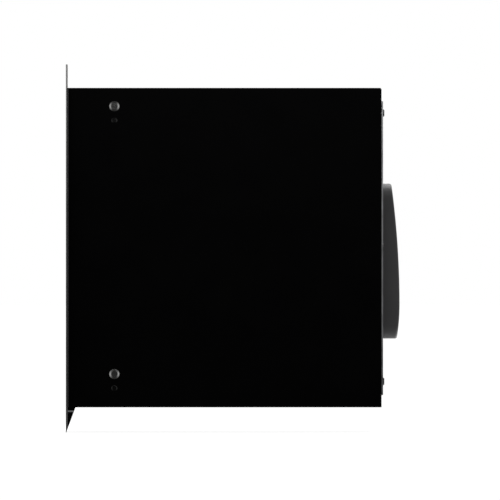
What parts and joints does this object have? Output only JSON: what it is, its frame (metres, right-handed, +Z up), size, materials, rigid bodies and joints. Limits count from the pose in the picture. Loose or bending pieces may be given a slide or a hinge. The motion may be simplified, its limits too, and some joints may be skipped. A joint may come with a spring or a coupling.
{
  "type": "trash compactor",
  "caption": "Built-in trash compactor: black steel case behind a bright trim frame, sliding bin drawer, screw-driven ram, motor drive with rear cover, push-button console.",
  "frame": {"origin": "centre of the case's underside, where it rests on its base", "axes": "+Z up, +Y from the front to the rear, +X to the right seen from the front"},
  "size_m": [0.45, 0.6017, 0.662],
  "materials": {
    "case_black": "satin black paint",
    "trim_steel": "brushed, vertical grain",
    "zinc_sheet": "dull zinc plate",
    "frame_steel": "grey primer",
    "bin_steel": "baked light grey enamel",
    "cover_plastic": "fine moulded texture",
    "console_plastic": "smooth black",
    "button_plastic": "satin grey",
    "liner_plastic": "fine moulded texture",
    "retainer_plastic": "satin",
    "screw_steel": "bright zinc plate",
    "screw_black": "black oxide",
    "machined_steel": "turned, oiled",
    "bronze": "machined bronze",
    "cast_plate": "painted casting",
    "chain_steel": "oiled",
    "motor_paint": "semi-gloss black",
    "fan_plastic": "moulded",
    "capacitor_can": "drawn can",
    "board_green": "solder mask",
    "charcoal": "pressed granules in mesh",
    "bush_rubber": "moulded"
  },
  "bodies": {
    "cabinet": {"base_pan": "case_black", "left_side_panel": "case_black", "right_side_panel": "case_black", "top_panel": "case_black", "front_trim_frame": "trim_steel", "bottom_deflector": "case_black", "left_side_frame": "frame_steel", "right_side_frame": "frame_steel", "top_crossmember": "frame_steel", "rear_panel": "zinc_sheet", "motor_cover": "cover_plastic", "rear_liner": "bin_steel", "compaction_deck": "frame_steel", "left_slide_track": "zinc_sheet", "right_slide_track": "zinc_sheet", "screw_bearings": "bronze", "drive_chain": "chain_steel", "gearbox_housing": "frame_steel", "motor_case": "motor_paint", "run_capacitor": "capacitor_can", "console_panel": "console_plastic", "key_switch_housing": "retainer_plastic", "control_board": "board_green", "filter_sleeve": "retainer_plastic", "odour_fan_frame": "fan_plastic", "limit_switches": "retainer_plastic", "cord_bush": "bush_rubber", "side_mounting_screws": "screw_steel", "side_panel_screws": "screw_black", "rear_panel_screws": "screw_black", "frame_seal": "bush_rubber"},
    "drawer": {"bin_shell": "bin_steel", "drawer_front_skin": "trim_steel", "drawer_front_liner": "liner_plastic", "bag_retainer": "retainer_plastic", "left_slide_rail": "zinc_sheet", "right_slide_rail": "zinc_sheet"},
    "left_middle": {"left_slide_middle": "zinc_sheet"},
    "right_middle": {"right_slide_middle": "zinc_sheet"},
    "ram": {"ram_crossbeam": "frame_steel", "ram_nuts": "bronze", "ram_legs": "frame_steel", "ram_platen": "cast_plate"},
    "left_screw": {"left_power_screw": "machined_steel", "left_sprocket": "machined_steel"},
    "right_screw": {"right_power_screw": "machined_steel", "right_sprocket": "machined_steel"},
    "output": {"output_shaft": "machined_steel", "reduction_gear": "machined_steel", "drive_sprocket": "machined_steel"},
    "rotor": {"motor_rotor": "machined_steel", "motor_pinion": "machined_steel", "motor_fan": "fan_plastic"},
    "start_cap": {"start_button": "button_plastic"},
    "stop_cap": {"stop_button": "button_plastic"},
    "fan_cap": {"fan_button": "button_plastic"},
    "key_barrel": {"key_switch": "screw_steel"},
    "filter": {"filter_tray": "console_plastic", "charcoal_cartridge": "charcoal"},
    "odour_impeller": {"odour_fan_impeller": "fan_plastic"}
  },
  "joints": [
    {"name": "drawer_slide", "type": "slide", "parent": "cabinet", "child": "drawer", "axis": [0, -1, 0], "range_m": [0, 0.4]},
    {"name": "left_middle_slide", "type": "slide", "parent": "cabinet", "child": "left_middle", "axis": [0, -1, 0], "range_m": [0, 0.2]},
    {"name": "right_middle_slide", "type": "slide", "parent": "cabinet", "child": "right_middle", "axis": [0, -1, 0], "range_m": [0, 0.2]},
    {"name": "motor_spin", "type": "hinge", "parent": "cabinet", "child": "rotor", "pos_m": [0.05309, 0.24132, 0.2], "axis": [0, 0, 1], "range_deg": [-33120, 0]},
    {"name": "ram_travel", "type": "slide", "parent": "cabinet", "child": "ram", "axis": [0, 0, 1], "range_m": [-0.184, 0]},
    {"name": "output_spin", "type": "hinge", "parent": "cabinet", "child": "output", "pos_m": [0, 0.222, 0.1], "axis": [0, 0, 1], "range_deg": [0, 8280]},
    {"name": "left_screw_spin", "type": "hinge", "parent": "cabinet", "child": "left_screw", "pos_m": [-0.166, -0.05, 0.2], "axis": [0, 0, 1], "range_deg": [0, 8280]},
    {"name": "right_screw_spin", "type": "hinge", "parent": "cabinet", "child": "right_screw", "pos_m": [0.166, -0.05, 0.2], "axis": [0, 0, 1], "range_deg": [0, 8280]},
    {"name": "start_press", "type": "slide", "parent": "cabinet", "child": "start_cap", "axis": [0, 1, 0], "range_m": [0, 0.0015], "stiffness_N_per_m": 600, "springref_m": -0.0015},
    {"name": "stop_press", "type": "slide", "parent": "cabinet", "child": "stop_cap", "axis": [0, 1, 0], "range_m": [0, 0.0015], "stiffness_N_per_m": 600, "springref_m": -0.0015},
    {"name": "fan_press", "type": "slide", "parent": "cabinet", "child": "fan_cap", "axis": [0, 1, 0], "range_m": [0, 0.0015], "stiffness_N_per_m": 600, "springref_m": -0.0015},
    {"name": "key_turn", "type": "hinge", "parent": "cabinet", "child": "key_barrel", "pos_m": [0.136, -0.275, 0.512], "axis": [0, 1, 0], "range_deg": [0, 90]},
    {"name": "filter_slide", "type": "slide", "parent": "cabinet", "child": "filter", "axis": [0, -1, 0], "range_m": [0, 0.12]},
    {"name": "odour_fan_spin", "type": "hinge", "parent": "cabinet", "child": "odour_impeller", "pos_m": [-0.08, 0.263, 0.497], "axis": [0, 1, 0], "continuous": true}
  ],
  "couplings": [
    {"joint": "left_middle_slide", "follows": "drawer_slide", "ratio": 0.5},
    {"joint": "right_middle_slide", "follows": "drawer_slide", "ratio": 0.5},
    {"joint": "motor_spin", "follows": "ram_travel", "rad_per_m": 3141.6},
    {"joint": "output_spin", "follows": "ram_travel", "rad_per_m": -785.4},
    {"joint": "left_screw_spin", "follows": "ram_travel", "rad_per_m": -785.4},
    {"joint": "right_screw_spin", "follows": "ram_travel", "rad_per_m": -785.4}
  ]
}
